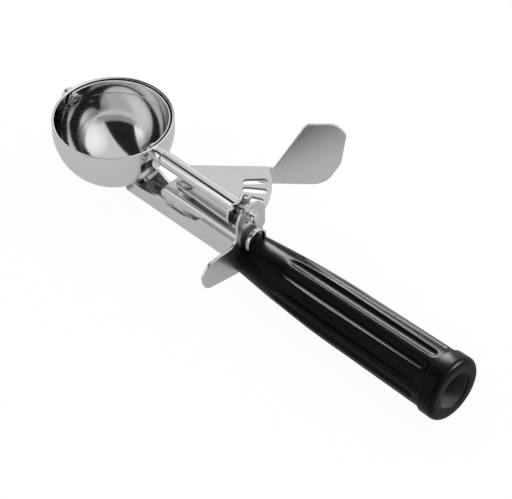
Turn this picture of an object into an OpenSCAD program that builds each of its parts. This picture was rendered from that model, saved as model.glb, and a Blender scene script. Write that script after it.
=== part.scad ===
// Lever ice cream scoop, in millimetres.
// A hemispherical bowl sits on a channel shank that runs into a fluted grip.
// A thumb lever turns on a pivot. Its slotted sector turns a pinion, and the
// pinion's shaft sweeps a scraper blade through the bowl.
// +X runs from the bowl to the butt of the grip, +Z is up and +Y is the thumb
// side. The origin is the centre of the socket's mouth in the butt.

/* [Bowl] */
// Outer diameter of the bowl
bowl_d = 49.5; // [46:0.5:54]
// Wall of the bowl
bowl_wall = 1; // [0.8:0.1:1.3]
// Straight rim above the centre of the bowl
bowl_rim_h = 5; // [5:0.5:7]
// Drop of the bowl's centre below the shaft
bowl_drop = 1; // [0:0.1:1.2]
// Thickness of the saddle plate under the bowl
saddle_t = 1.2; // [0.8:0.1:1.6]
// Diameter of the saddle plate
saddle_d = 14.5; // [13:0.5:18]

/* [Scraper] */
// Width of the scraper blade
blade_w = 6.5; // [5:0.5:8]
// Thickness of the scraper blade
blade_t = 0.6; // [0.5:0.1:0.8]
// Gap between the blade and the bowl
blade_gap = 0.5; // [0.3:0.1:0.8]
// Diameter of the round lug at each end of the blade
blade_lug_d = 7; // [6.6:0.2:9]
// Diameter of the journal that carries the far end of the blade
front_pin_d = 3; // [2.5:0.1:3.5]
// Length of the front pin's head outside the bowl
front_pin_head_l = 2.4; // [1.5:0.1:3]

/* [Shaft] */
// Diameter of the shaft
shaft_d = 4; // [3.6:0.1:4.4]
// Outer diameter of the sleeve on the shaft
sleeve_d = 6.3; // [5.8:0.1:6.8]
// Outer diameter of the neck bushing
neck_d = 6; // [5.6:0.1:6.6]
// Length of the neck bushing outside the bowl
neck_l = 4; // [3:0.5:6]
// Height of the shaft's axis above the axis of the grip
shaft_rise = 20.5; // [20:0.1:21.5]
// Length of the shaft's end behind the finger rest
shaft_stub = 2.6; // [1.5:0.1:3.5]
// Radial clearance of a running fit
run_fit = 0.05; // [0.03:0.01:0.08]
// Gap between parts that turn past each other
face_gap = 0.3; // [0.2:0.05:0.5]

/* [Pinion and lever] */
// Number of teeth that a full turn of the pinion would have
pinion_teeth = 7; // [7:1:8]
// Pitch radius of the pinion
pinion_pitch_r = 6.16; // [6.08:0.02:6.24]
// Width of the pinion along the shaft
pinion_w = 1; // [0.8:0.1:1.4]
// Radius of the pinion's plain side
pinion_plain_r = 7.5; // [7:0.1:7.6]
// Distance from the lever's pivot to the middle of the pinion
rack_r = 29.1; // [28.8:0.1:29.4]
// Distance from the middle of the pinion to the finger rest
rack_setback = 4.6; // [4.4:0.1:5.6]
// Distance from the centre of the bowl to the lever's pivot
bowl_to_pivot = 42; // [41:0.5:46]
// Thickness of the lever's sheet
lever_t = 1.2; // [1:0.1:1.3]
// Width of a slot
slot_w = 3.1; // [2.8:0.05:3.2]
// Length of a slot
slot_l = 10; // [9:0.2:10.4]
// Distance from the arc edge to the slots
slot_edge = 1.6; // [1.5:0.1:2.4]
// Distance from the pivot to the straight far edge
lever_far_edge = 10.85; // [10.2:0.1:11.4]
// Angle of the far edge from the shaft
lever_far_angle = 42.3; // [40:0.1:44]
// Distance from the pivot to the front edge
lever_front = 8.2; // [7.5:0.1:9]

/* [Thumb pad] */
// Reach of the thumb pad beyond the lever's corner
pad_reach = 30; // [26:0.5:34]
// Height of the thumb pad above the lever
pad_rise = 23.3; // [18:0.1:26]
// Depth of the thumb pad below the lever
pad_drop = 8.4; // [7:0.1:10]

/* [Pivot and spring] */
// Diameter of the pivot rivet
pivot_d = 4; // [3.6:0.1:4.2]
// Diameter of the pivot rivet's head
pivot_head_d = 6.1; // [5.6:0.1:6.6]
// Outer diameter of the spacer under the lever
spacer_d = 6.1; // [5.4:0.1:6.6]
// Room between the lever and the bed for the spring
spring_room = 3.2; // [3.1:0.05:3.6]
// Wire of the return spring
wire_d = 0.8; // [0.6:0.05:0.9]
// Turns of the return spring
spring_turns = 2; // [1.5:0.25:2]

/* [Shank] */
// Outer width of the shank channel
shank_w = 10.6; // [10.2:0.1:11.4]
// Sheet of the shank channel
shank_t = 1.2; // [1:0.1:1.4]
// Depth of the shank's floor below the axis of the grip
shank_drop = 3.5; // [2.8:0.1:4]
// Height of the shank's front flanges above its floor
shank_front_h = 7; // [6:0.1:8]
// Outer width of the lever bed
bed_w = 9.6; // [9.2:0.1:10]
// Sheet of the lever bed
bed_t = 1; // [0.8:0.1:1.1]
// Outer width of the tang in the grip
tang_w = 9; // [8:0.1:9.4]
// Height of the tang in the grip
tang_h = 6.2; // [5:0.1:6.6]
// Length of the tang in the grip
tang_l = 58; // [40:1:70]

/* [Finger rest] */
// Sheet of the finger rest
rest_t = 1.3; // [1.1:0.1:1.5]
// Reach of the finger tab from the middle
rest_reach = 26.9; // [22:0.1:30]
// Height of the finger tab
rest_tab_h = 12.2; // [10:0.2:15]
// Half width of the lobe round the shaft
rest_lobe_r = 7.9; // [7.5:0.1:8.6]
// Sheet of the collar behind the finger rest
collar_t = 1.1; // [0.9:0.1:1.3]
// Outer radius of the collar's arch
collar_r = 5.1; // [4.8:0.1:5.8]
// Length of the collar along the grip
collar_l = 1.8; // [1:0.1:2.4]

/* [Grip] */
// Length of the grip
grip_len = 106; // [98:1:115]
// Diameter at the front of the grip
grip_front_d = 17.4; // [17:0.1:19]
// Diameter where the front flare ends
grip_neck_d = 24.2; // [23.2:0.1:24.6]
// Diameter over the ribs at the rear
grip_rear_d = 25.5; // [24.8:0.1:25.8]
// Diameter of the butt flange
butt_d = 27.4; // [27:0.1:29]
// Length of the butt flange
butt_l = 8; // [7:0.5:11]
// Rounding of the butt flange
butt_round = 2.4; // [2:0.2:3.6]
// Number of flutes round the grip
flute_count = 12; // [10:1:14]
// Depth of a flute
flute_depth = 0.8; // [0.5:0.1:1]
// Radius of the flute's cutter
flute_r = 2.6; // [2:0.1:3]
// Diameter of the socket in the butt
socket_d = 15.7; // [14:0.1:17]
// Depth of the socket
socket_depth = 12; // [9:0.5:16]

/* [Hidden] */
$fn = 72;
past = 0.5;                 // how far a cutter runs past the face that it opens
lap = 0.05;                 // how far one piece of a bent sheet runs into the next
arc_steps = 6;              // straight pieces in a rounded corner of an outline
arc_pieces = 16;            // straight pieces in the lever's arc edge
steel = [0.78, 0.78, 0.79];
stamped = [0.72, 0.72, 0.73];
black = [0.06, 0.06, 0.06];

// Stations along X, from the butt to the bowl
grip_front_x = -grip_len;
rest_x = grip_front_x - rest_t;
pinion_x = rest_x - rack_setback;
pivot_x = pinion_x - rack_r;
bowl_x = pivot_x - bowl_to_pivot;

// Bowl and scraper
bowl_r = bowl_d / 2;
bowl_in_r = bowl_r - bowl_wall;
blade_out_r = bowl_in_r - blade_gap;
blade_in_r = blade_out_r - blade_t;
blade_lug_r = blade_lug_d / 2;
front_pin_r = front_pin_d / 2;
front_pin_head_r = front_pin_r + 1.5;
front_pin_cap_r = front_pin_r + 0.9;
front_pin_cap_l = 0.7;
saddle_out_r = bowl_r + saddle_t;
saddle_tilt = 52;           // angle of the saddle's axis below the shaft
shaft_head_l = 0.8;

// Shaft
shaft_z = shaft_rise;
bowl_z = shaft_z - bowl_drop;
shaft_r = shaft_d / 2;
bore_r = shaft_r + run_fit;
neck_in_x = bowl_x + bowl_in_r - 0.15;
neck_out_x = bowl_x + bowl_r + neck_l;
pinion_front_x = pinion_x - pinion_w / 2;
pinion_rear_x = pinion_x + pinion_w / 2;
rear_flange_t = 0.7;
rear_flange_r = shaft_r + 1.4;
rear_hub_r = shaft_r + 0.8;
rear_flange_x = rest_x + rest_t + 0.4;
shaft_end_x = rest_x + rest_t + shaft_stub;
thrust_l = 1.4;
thrust_r = shaft_r + 1.4;
thrust_x = rest_x - rear_flange_t - face_gap - thrust_l;

// Pinion and lever
gear_ratio = rack_r / pinion_pitch_r;
tooth_step = 360 / pinion_teeth;
slot_count = floor(pinion_teeth / 2) + 2;  // half a turn of teeth, and a little to spare
slot_step = tooth_step / gear_ratio;
slot_first = 3;               // angle of the first slot from the shaft, at rest
pinion_tip_r = pinion_pitch_r + 0.75;
pinion_root_r = pinion_pitch_r - 1.5;
blank_clear = 48;           // angle between the foot of the pinion and its plain side
blank_gap = 20;             // angle between the last tooth and the plain side
tooth_tip_half = 0.35;
tooth_root_half = 1.1;
lever_top_z = shaft_z - pinion_pitch_r + lever_t / 2;
lever_bottom_z = lever_top_z - lever_t;
arc_gap = 0.4;              // gap between the arc edge and the finger rest
lever_arc_r = rack_r + rack_setback - arc_gap;
slot_in_r = lever_arc_r - slot_edge - slot_l;
far_dir = [cos(lever_far_angle), sin(lever_far_angle)];
far_out = [-far_dir.y, far_dir.x];
far_reach = sqrt(lever_arc_r * lever_arc_r - lever_far_edge * lever_far_edge);
far_corner = far_out * lever_far_edge + far_dir * far_reach;
far_corner_angle = atan2(far_corner.y, far_corner.x);
far_front_t = (lever_far_edge * far_dir.y - lever_front) / far_dir.x;
far_front = far_out * lever_far_edge + far_dir * far_front_t;
near_front_y = -3.2;
front_tail_x = -3.8;        // near corner of the front edge, from the pivot
lever_rear_angle = -7.5;      // angle of the near end of the arc edge

// Pivot and spring
pivot_r = pivot_d / 2;
pivot_bore_r = pivot_r + run_fit;
lever_bush_r = pivot_r + 0.5;
bed_top_z = lever_bottom_z - spring_room;
washer_t = 0.4;
play = 0.15;                // end play of the lever on its pivot
pivot_head_z = lever_top_z + play + washer_t;
pivot_head_t = 0.8;
pivot_foot_t = 0.9;
coil_r = spacer_d / 2 + wire_d / 2 + 0.35;
coil_pitch = wire_d + 0.15;
coil_low_z = bed_top_z + wire_d / 2 + 0.1;
wire_sides = 8;
coil_steps = 20;            // rings of the wire in one turn
leg_reach = shank_w / 2 + wire_d / 2 + 0.2;
leg_in = 2.2;               // how far inside the middle the leg drops through the bed
leg_corner = 0.9;
leg_soft = leg_corner * 0.28;  // keeps the middle of a bend off its corner
leg_hole_r = wire_d / 2 + 0.25;

// Shank and bed
shank_floor_z = -shank_drop;
shank_front_z = shank_floor_z + shank_front_h;
shank_round = 1.7;
bed_round = 1.2;
bed_front_x = pivot_x - 9.4;
bed_nose_l = 2.2;           // length of the slope at the bed's front end
bed_nose_h = 1.8;           // height of that slope
bed_lip_x = pivot_x - 6.5;  // front end of the deep part of the bed's lips
bed_lip_l = 7;              // length of the deep part
bed_lip_z = bed_top_z - 4.9;
bed_seat_z = bed_top_z - 2.1;
bed_seat_x = pivot_x + 13;  // front end of the bed's seat on the flanges
leg_gap = 1.4;              // gap under the lip, where the spring's leg passes
flange_top_z = bed_lip_z - leg_gap;
leg_z = bed_lip_z - leg_gap / 2;
dip_z = shank_floor_z + 3.8;  // lowest point of the far flange's dip

// Finger rest and collar
rest_hub_r = rear_hub_r;
rest_tab_top_z = shaft_z - 10.1;
rest_tab_low_z = rest_tab_top_z - rest_tab_h;
rest_foot_z = -6.3;
rest_top_z = shaft_z + 5.7;
rest_left = 0.9;              // how much narrower the lobe is on the tab's side
collar_z = shaft_z - 11.1;
collar_x = grip_front_x + 1.5;
collar_foot = 3.6;            // depth of the collar's legs in the grip

// Grip
grip_front_r = grip_front_d / 2;
grip_neck_r = grip_neck_d / 2;
grip_rear_r = grip_rear_d / 2;
butt_r = butt_d / 2;
butt_x = -butt_l;
grip_flare_l = 54;          // length of the flare at the front
flute_front_x = grip_front_x + 25;
flute_rear_x = butt_x - 3.9;
socket_r = socket_d / 2;

// ---- Helpers ----

function unit(v) = v / norm(v);
function turned(v, a) = [v.x * cos(a) - v.y * sin(a), v.x * sin(a) + v.y * cos(a)];

// One corner of an outline, rounded: b is the corner, a and c its neighbours
function corner_arc(a, b, c, r) =
    r == 0 ? [b] :
    let(u = unit(a - b), w = unit(c - b), half = acos(u * w) / 2,
        centre = b + unit(u + w) * r / sin(half),
        start = b + u * r / tan(half) - centre,
        side = u.x * w.y - u.y * w.x > 0 ? -1 : 1)
    [for (i = [0:arc_steps]) centre + turned(start, side * (180 - 2 * half) * i / arc_steps)];

function xy(p) = [p.x, p.y];

// An outline from corners given as [x, y, rounding]
function rounded(pts) =
    let(n = len(pts))
    [for (i = [0:n - 1])
        each corner_arc(xy(pts[(i + n - 1) % n]), xy(pts[i]), xy(pts[(i + 1) % n]), pts[i].z)];

// A cylinder along X on the shaft's axis
module rod(x0, x1, r) {
    translate([x0, 0, shaft_z]) rotate([0, 90, 0]) cylinder(h = x1 - x0, r = r);
}

// A tube along X on the shaft's axis
module tube(x0, x1, r_out, r_in) {
    difference() {
        rod(x0, x1, r_out);
        rod(x0 - past, x1 + past, r_in);
    }
}

// A ring about the lever's pivot
module pivot_ring(z0, z1, r_out, r_in) {
    translate([pivot_x, 0, z0]) difference() {
        cylinder(h = z1 - z0, r = r_out);
        translate([0, 0, -past]) cylinder(h = z1 - z0 + 2 * past, r = r_in);
    }
}

// An outline in Y and Z, extruded along X
module along_x(x0, x1) {
    translate([x0, 0, 0]) rotate([90, 0, 90]) linear_extrude(x1 - x0) children();
}

// An outline in X and Z, extruded along Y about the middle
module along_y(width) {
    translate([0, width / 2, 0]) rotate([90, 0, 0]) linear_extrude(width) children();
}

// The section of an open channel, width w, from floor z0 up to z1
module channel_section(w, z0, z1, t, r) {
    difference() {
        polygon(rounded([[-w / 2, z1, 0], [-w / 2, z0, r], [w / 2, z0, r], [w / 2, z1, 0]]));
        polygon(rounded([[-w / 2 + t, z1 + past, 0], [-w / 2 + t, z0 + t, r - t],
                         [w / 2 - t, z0 + t, r - t], [w / 2 - t, z1 + past, 0]]));
    }
}

// ---- Bowl and scraper ----

module bowl() {
    color(steel) translate([bowl_x, 0, bowl_z]) difference() {
        union() {
            difference() {
                sphere(r = bowl_r);
                cylinder(h = bowl_r + past, r = bowl_r + past);
            }
            cylinder(h = bowl_rim_h, r = bowl_r);
        }
        sphere(r = bowl_in_r);
        cylinder(h = bowl_rim_h + past, r = bowl_in_r);
        translate([0, 0, bowl_drop]) {
            rotate([0, 90, 0]) cylinder(h = bowl_r + past, r = neck_d / 2);
            rotate([0, -90, 0]) cylinder(h = bowl_r + past, r = front_pin_r);
        }
    }
}

// Doubler plate that joins the bowl to the shank
module bowl_saddle() {
    color(stamped) translate([bowl_x, 0, bowl_z]) intersection() {
        difference() {
            sphere(r = saddle_out_r);
            sphere(r = bowl_r);
        }
        rotate([0, 90 + saddle_tilt, 0]) cylinder(h = saddle_out_r + past, r = saddle_d / 2);
    }
}

// Rivet through the bowl's far wall: the blade turns on its inner end
module front_pin() {
    head_x = bowl_x - bowl_r;
    cap_x = bowl_x - blade_in_r + 0.25;
    color(steel) {
        rod(head_x - front_pin_head_l, head_x, front_pin_head_r);
        rod(head_x, cap_x, front_pin_r);
        rod(cap_x, cap_x + front_pin_cap_l, front_pin_cap_r);
    }
}

module scraper_blade() {
    color(steel) translate([bowl_x, 0, shaft_z]) difference() {
        intersection() {
            difference() {
                sphere(r = blade_out_r);
                sphere(r = blade_in_r);
            }
            union() {
                translate([-bowl_r, 0, -blade_w / 2]) cube([2 * bowl_r, bowl_r, blade_w]);
                translate([-bowl_r, 0, 0]) rotate([0, 90, 0]) cylinder(h = 2 * bowl_r, r = blade_lug_r);
            }
        }
        rotate([0, 90, 0]) cylinder(h = bowl_r, r = shaft_r);
        rotate([0, -90, 0]) cylinder(h = bowl_r, r = front_pin_r + run_fit);
    }
}

// ---- Shaft ----

module neck_bushing() {
    color(steel) tube(neck_in_x, neck_out_x, neck_d / 2, bore_r);
}

module scraper_shaft() {
    head_x = bowl_x + blade_in_r - 0.25;
    color(steel) {
        rod(head_x - shaft_head_l, head_x, shaft_r + 1);
        rod(head_x, shaft_end_x, shaft_r);
    }
}

module shaft_sleeve() {
    color(steel) tube(neck_out_x + face_gap, pinion_front_x, sleeve_d / 2, shaft_r);
}

// Pointed teeth drop through the lever's slots. The side that never meets the
// lever is left as a plain disc.
module pinion() {
    first = slot_first * gear_ratio - 90;
    blank_from = first + (slot_count - 1) * tooth_step + blank_gap;
    blank_span = 270 - blank_clear - blank_from;
    teeth = [for (k = [0:slot_count - 1]) let(a = first + k * tooth_step)
                each [turned([pinion_root_r, -tooth_root_half], a),
                      turned([pinion_tip_r, -tooth_tip_half], a),
                      turned([pinion_tip_r, tooth_tip_half], a),
                      turned([pinion_root_r, tooth_root_half], a)]];
    blank = [for (i = [0:12]) turned([pinion_plain_r, 0], blank_from + blank_span * i / 12)];
    color(stamped) difference() {
        translate([0, 0, shaft_z]) along_x(pinion_front_x, pinion_rear_x)
            polygon(concat(teeth, blank));
        rod(pinion_front_x - past, pinion_rear_x + past, shaft_r);
    }
}

module thrust_collar() {
    color(steel) tube(thrust_x, thrust_x + thrust_l, thrust_r, shaft_r);
}

// Flanged bearing in the finger rest
module rear_bushing() {
    color(steel) difference() {
        union() {
            rod(rest_x - rear_flange_t, rest_x, rear_flange_r);
            rod(rest_x, rest_x + rest_t, rear_hub_r);
            rod(rest_x + rest_t, rear_flange_x, rear_flange_r);
        }
        rod(rest_x - rear_flange_t - past, rear_flange_x + past, bore_r);
    }
}

// ---- Lever ----

module lever_outline() {
    rear_near = [cos(lever_rear_angle), sin(lever_rear_angle)] * lever_arc_r;
    arc_span = far_corner_angle - lever_rear_angle;
    front = rounded([[far_corner.x, far_corner.y, 0], [far_front.x, far_front.y, 1.5],
                     [front_tail_x, near_front_y, 2], [rear_near.x, rear_near.y, 0]]);
    arc = [for (i = [1:arc_pieces - 1]) let(a = lever_rear_angle + arc_span * i / arc_pieces)
              [cos(a), sin(a)] * lever_arc_r];
    polygon(concat(front, arc));
}

// The upright thumb pad, in the plane of the far edge
module thumb_pad() {
    root = far_corner - far_out * lap;
    translate([root.x, root.y, 0]) rotate([90, 0, lever_far_angle])
        linear_extrude(lever_t)
            polygon(rounded([[-9, 0, 0], [-9, -2.5, 0], [-3, -pad_drop, 3],
                             [pad_reach - 7, -pad_drop, 9], [pad_reach - 1, 3, 8],
                             [pad_reach + 1, pad_rise - 5, 4], [pad_reach - 3, pad_rise + 0.5, 5],
                             [0.5 * pad_reach, pad_rise + 0.2, 3], [2.3, 0, 0]]));
}

module lever_plate() {
    color(stamped) translate([pivot_x, 0, lever_top_z]) difference() {
        union() {
            translate([0, 0, -lever_t]) linear_extrude(lever_t) lever_outline();
            thumb_pad();
        }
        translate([0, 0, -lever_t - past]) {
            cylinder(h = lever_t + 2 * past, r = lever_bush_r);
            for (k = [0:slot_count - 1]) rotate([0, 0, slot_first + k * slot_step]) {
                translate([slot_in_r + slot_w / 2, -slot_w / 2, 0])
                    cube([slot_l - slot_w, slot_w, lever_t + 2 * past]);
                for (r = [slot_in_r + slot_w / 2, slot_in_r + slot_l - slot_w / 2])
                    translate([r, 0, 0]) cylinder(h = lever_t + 2 * past, r = slot_w / 2);
            }
        }
    }
}

module lever_bushing() {
    color(steel) pivot_ring(lever_bottom_z, lever_top_z, lever_bush_r, pivot_bore_r);
}

// ---- Pivot and spring ----

module pivot_rivet() {
    foot_z = bed_top_z - bed_t;
    color(steel) translate([pivot_x, 0, 0]) {
        translate([0, 0, pivot_head_z]) cylinder(h = pivot_head_t, r = pivot_head_d / 2);
        translate([0, 0, foot_z]) cylinder(h = pivot_head_z - foot_z, r = pivot_r);
        translate([0, 0, foot_z - pivot_foot_t]) cylinder(h = pivot_foot_t, r = pivot_r + 1);
    }
}

module pivot_washer() {
    color(steel) pivot_ring(pivot_head_z - washer_t, pivot_head_z, pivot_head_d / 2 - 0.4, pivot_r);
}

module pivot_spacer() {
    color(steel) pivot_ring(bed_top_z, lever_bottom_z - play, spacer_d / 2, pivot_r);
}

// The wire's route: the hook on the shank, the leg up through the bed, and the
// coil, wound clockwise as it rises
spring_route = concat(
    [[1.3 - coil_r, -leg_reach, leg_z - 2.2], [0.4 - coil_r, -leg_reach, leg_z - 1.7],
     [-coil_r, -leg_reach, leg_z - leg_corner], [-coil_r, leg_soft - leg_reach, leg_z - leg_soft],
     [-coil_r, leg_corner - leg_reach, leg_z], [-coil_r, -leg_in - leg_corner, leg_z],
     [-coil_r, -leg_in - leg_soft, leg_z + leg_soft], [-coil_r, -leg_in, leg_z + leg_corner],
     [-coil_r, -leg_in, coil_low_z - leg_corner], [-coil_r, leg_soft - leg_in, coil_low_z - leg_soft],
     [-coil_r, leg_corner - leg_in, coil_low_z]],
    [for (i = [0:coil_steps * spring_turns]) let(a = 180 - 360 * i / coil_steps)
        [coil_r * cos(a), coil_r * sin(a), coil_low_z + coil_pitch * i / coil_steps]]);

function tangent(route, i) =
    unit(route[min(i + 1, len(route) - 1)] - route[max(i - 1, 0)]);
function square_to(v, t) = unit(v - (v * t) * t);

// A round wire swept along a route
module wire(route, d) {
    n = len(route);
    sides = [for (i = 0, s = square_to([1, 0, 0.3], tangent(route, 0)); i < n;
                  i = i + 1, s = square_to(s, tangent(route, min(i, n - 1)))) s];
    pts = [for (i = [0:n - 1]) let(t = tangent(route, i), s = sides[i], c = cross(t, s))
              for (k = [0:wire_sides - 1]) let(a = 360 * k / wire_sides)
                  route[i] + (s * cos(a) + c * sin(a)) * d / 2];
    walls = [for (i = [0:n - 2]) for (k = [0:wire_sides - 1])
                let(a = i * wire_sides + k, b = i * wire_sides + (k + 1) % wire_sides)
                    [a, a + wire_sides, b + wire_sides, b]];
    low_cap = [[for (k = [0:wire_sides - 1]) k]];
    high_cap = [[for (k = [wire_sides - 1:-1:0]) (n - 1) * wire_sides + k]];
    polyhedron(points = pts, faces = concat(walls, low_cap, high_cap), convexity = 6);
}

module return_spring() {
    color(steel) translate([pivot_x, 0, 0]) wire(spring_route, wire_d);
}

// ---- Shank, bed, finger rest and collar ----

// Side view of the shank's flanges
module shank_side() {
    lip_end_x = bed_lip_x + bed_lip_l;
    polygon([[bowl_x, shank_floor_z - past], [bowl_x, shank_front_z], [bowl_x + 20, shank_front_z],
             [bed_front_x - 2, flange_top_z + 0.3], [bed_lip_x, flange_top_z],
             [lip_end_x + 2, flange_top_z], [bed_seat_x - 3, flange_top_z + 1.6],
             [bed_seat_x, bed_seat_z], [rest_x, bed_seat_z], [rest_x, shank_floor_z - past]]);
}

// Cut that lowers the far flange between the bowl and the bed
module far_dip() {
    translate([0, shank_w, 0]) rotate([90, 0, 0]) linear_extrude(shank_w - shank_t)
        polygon([[bowl_x + bowl_r - 6, shank_front_z], [bed_front_x - 5, dip_z], [bed_front_x, dip_z],
                 [bed_lip_x - 2, flange_top_z + past], [bowl_x + bowl_r - 6, flange_top_z + past]]);
}

// The tang behind the finger rest, also cut from the rest and the grip
module tang() {
    along_x(rest_x - 0.01, grip_front_x + tang_l)
        channel_section(tang_w, shank_floor_z, shank_floor_z + tang_h, shank_t, shank_round);
}

module shank_channel() {
    color(stamped) difference() {
        union() {
            intersection() {
                along_x(bowl_x, rest_x)
                    channel_section(shank_w, shank_floor_z, shaft_z, shank_t, shank_round);
                along_y(shank_w + 2 * past) shank_side();
            }
            tang();
        }
        far_dip();
        translate([bowl_x, 0, bowl_z]) sphere(r = saddle_out_r);
    }
}

// Side view of the bed's lips
module bed_side() {
    polygon([[bed_front_x + bed_nose_l, bed_top_z], [bed_front_x, bed_top_z - bed_nose_h],
             [bed_front_x, bed_lip_z + 1], [bed_lip_x, bed_lip_z], [bed_lip_x + bed_lip_l, bed_lip_z],
             [bed_lip_x + bed_lip_l + 3, bed_top_z - 3.6], [bed_seat_x - 3, bed_top_z - 2.9],
             [bed_seat_x, bed_seat_z], [rest_x, bed_seat_z], [rest_x, bed_top_z + past],
             [bed_front_x + bed_nose_l, bed_top_z + past]]);
}

module lever_bed() {
    color(stamped) difference() {
        intersection() {
            along_x(bed_front_x, rest_x) mirror([0, 1])
                channel_section(bed_w, -bed_top_z, past - bed_lip_z, bed_t, bed_round);
            along_y(bed_w + 2 * past) bed_side();
        }
        translate([pivot_x, 0, bed_top_z - bed_t - past]) {
            cylinder(h = bed_t + 2 * past, r = pivot_r);
            translate([-coil_r, -leg_in, 0]) cylinder(h = bed_t + 2 * past, r = leg_hole_r);
        }
    }
}

// The lobe carries the shaft, and the tab takes the forefinger
module finger_rest() {
    color(stamped) difference() {
        along_x(rest_x, rest_x + rest_t) polygon(rounded([
            [rest_lobe_r, rest_top_z, 7.4], [rest_lobe_r, rest_tab_top_z + 1.5, 1.5],
            [rest_lobe_r - 1.5, rest_tab_top_z - 0.4, 1], [rest_lobe_r - 1.5, rest_foot_z, 4],
            [-8, rest_foot_z + 0.7, 2], [-rest_reach + 1.4, rest_tab_low_z, 4.5],
            [-rest_reach - 0.4, rest_tab_low_z + 7, 3.5], [-rest_reach + 3.8, rest_tab_top_z, 4],
            [-rest_lobe_r - 0.2, rest_tab_top_z, 4], [rest_left - rest_lobe_r, rest_top_z, 7]]));
        rod(rest_x - past, rest_x + rest_t + past, rest_hub_r);
        tang();
    }
}

// Arch of sheet between the finger rest and the grip
module handle_collar() {
    color(steel) translate([collar_x, 0, collar_z]) rotate([90, 0, 90]) linear_extrude(collar_l)
        difference() {
            union() {
                circle(r = collar_r);
                translate([-collar_r, -collar_foot]) square([2 * collar_r, collar_foot]);
            }
            circle(r = collar_r - collar_t);
            translate([-collar_r + collar_t, -2 * collar_foot]) square([2 * (collar_r - collar_t), 2 * collar_foot]);
            translate([-collar_r, -collar_foot - collar_r]) square([2 * collar_r, collar_r]);
        }
}

// ---- Grip ----

// Radius of the grip at a distance x behind its front
function grip_r(x) =
    x < grip_flare_l
        ? grip_front_r + (grip_neck_r - grip_front_r) * sin(90 * x / grip_flare_l)
        : grip_neck_r + (grip_rear_r - grip_neck_r) * (x - grip_flare_l) / (grip_len - butt_l - grip_flare_l);

module grip_body() {
    last = grip_len - butt_l;
    xs = concat([for (i = [0:9]) grip_flare_l * i / 9], [last]);
    side = [for (x = xs) [grip_r(x), x]];
    flange = [for (i = [0:arc_steps]) let(a = 90 * i / arc_steps)
                 [butt_r - butt_round + butt_round * cos(a), grip_len - butt_round + butt_round * sin(a)]];
    translate([grip_front_x, 0, 0]) rotate([0, 90, 0]) rotate_extrude()
        polygon(concat([[0, 0]], side, [[butt_r - 0.6, last], [butt_r, last + 0.6]], flange, [[0, grip_len]]));
}

module flutes() {
    front_r = grip_r(flute_front_x - grip_front_x) + flute_r - flute_depth;
    rear_r = grip_r(flute_rear_x - grip_front_x) + flute_r - flute_depth;
    run = flute_rear_x - flute_front_x;
    slope = atan2(rear_r - front_r, run);
    for (k = [0:flute_count - 1]) rotate([360 * (k + 0.5) / flute_count, 0, 0])
        translate([flute_front_x, 0, front_r]) rotate([0, 90 - slope, 0]) {
            cylinder(h = run / cos(slope), r = flute_r, $fn = 32);
            sphere(r = flute_r, $fn = 32);
            translate([0, 0, run / cos(slope)]) sphere(r = flute_r, $fn = 32);
        }
}

module handle_grip() {
    color(black) difference() {
        grip_body();
        flutes();
        translate([-socket_depth, 0, 0]) rotate([0, 90, 0]) cylinder(h = socket_depth + past, r = socket_r);
        tang();
        handle_collar();
    }
}

bowl();
bowl_saddle();
front_pin();
scraper_blade();
neck_bushing();
scraper_shaft();
shaft_sleeve();
pinion();
thrust_collar();
rear_bushing();
lever_plate();
lever_bushing();
pivot_rivet();
pivot_washer();
pivot_spacer();
return_spring();
shank_channel();
lever_bed();
finger_rest();
handle_collar();
handle_grip();
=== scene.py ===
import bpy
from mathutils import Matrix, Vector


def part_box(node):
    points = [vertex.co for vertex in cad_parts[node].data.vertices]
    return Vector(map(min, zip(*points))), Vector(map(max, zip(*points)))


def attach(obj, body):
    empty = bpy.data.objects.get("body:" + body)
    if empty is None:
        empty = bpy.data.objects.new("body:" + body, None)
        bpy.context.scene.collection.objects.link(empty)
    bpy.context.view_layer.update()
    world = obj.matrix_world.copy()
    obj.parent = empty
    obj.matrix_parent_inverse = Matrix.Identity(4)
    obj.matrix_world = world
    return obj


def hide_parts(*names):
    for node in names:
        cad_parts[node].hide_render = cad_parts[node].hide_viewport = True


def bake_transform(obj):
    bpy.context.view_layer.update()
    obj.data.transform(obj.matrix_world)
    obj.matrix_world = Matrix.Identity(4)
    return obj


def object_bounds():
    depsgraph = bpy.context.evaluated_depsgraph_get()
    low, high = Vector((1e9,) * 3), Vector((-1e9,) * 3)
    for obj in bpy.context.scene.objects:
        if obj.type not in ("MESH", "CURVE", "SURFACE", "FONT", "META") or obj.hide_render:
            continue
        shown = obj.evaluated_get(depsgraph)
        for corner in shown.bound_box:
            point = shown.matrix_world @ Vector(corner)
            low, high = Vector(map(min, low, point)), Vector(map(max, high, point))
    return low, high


bl_info = {
    "name": "Lever ice cream scoop",
    "version": (1, 0, 0),
    "blender": (4, 5, 0),
    "location": "View3D > Sidebar > Scoop",
    "description": "Polished and stamped steel, a black fluted grip and a plain studio for a lever scoop",
    "category": "Object",
}

from math import acos, asin, atan2, cos, hypot, pi, radians, sin, sqrt, tan

import bmesh
import bpy
from bpy.props import FloatProperty, FloatVectorProperty, PointerProperty
from mathutils import Matrix, Vector

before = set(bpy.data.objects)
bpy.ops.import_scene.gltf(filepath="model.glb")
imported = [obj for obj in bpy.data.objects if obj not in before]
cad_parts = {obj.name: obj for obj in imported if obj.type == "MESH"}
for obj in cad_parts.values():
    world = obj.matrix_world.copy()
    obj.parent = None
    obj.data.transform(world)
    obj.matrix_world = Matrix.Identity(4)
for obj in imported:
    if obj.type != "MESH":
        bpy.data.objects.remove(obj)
cad_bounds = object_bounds()

MM = 0.001
X, Y, Z = Vector((1, 0, 0)), Vector((0, 1, 0)), Vector((0, 0, 1))


def span(node):
    """Lowest and highest corner of a solid, in millimetres."""
    low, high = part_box(node)
    return low / MM, high / MM


# ---- Places and sizes taken from the solids, in millimetres ----

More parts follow.
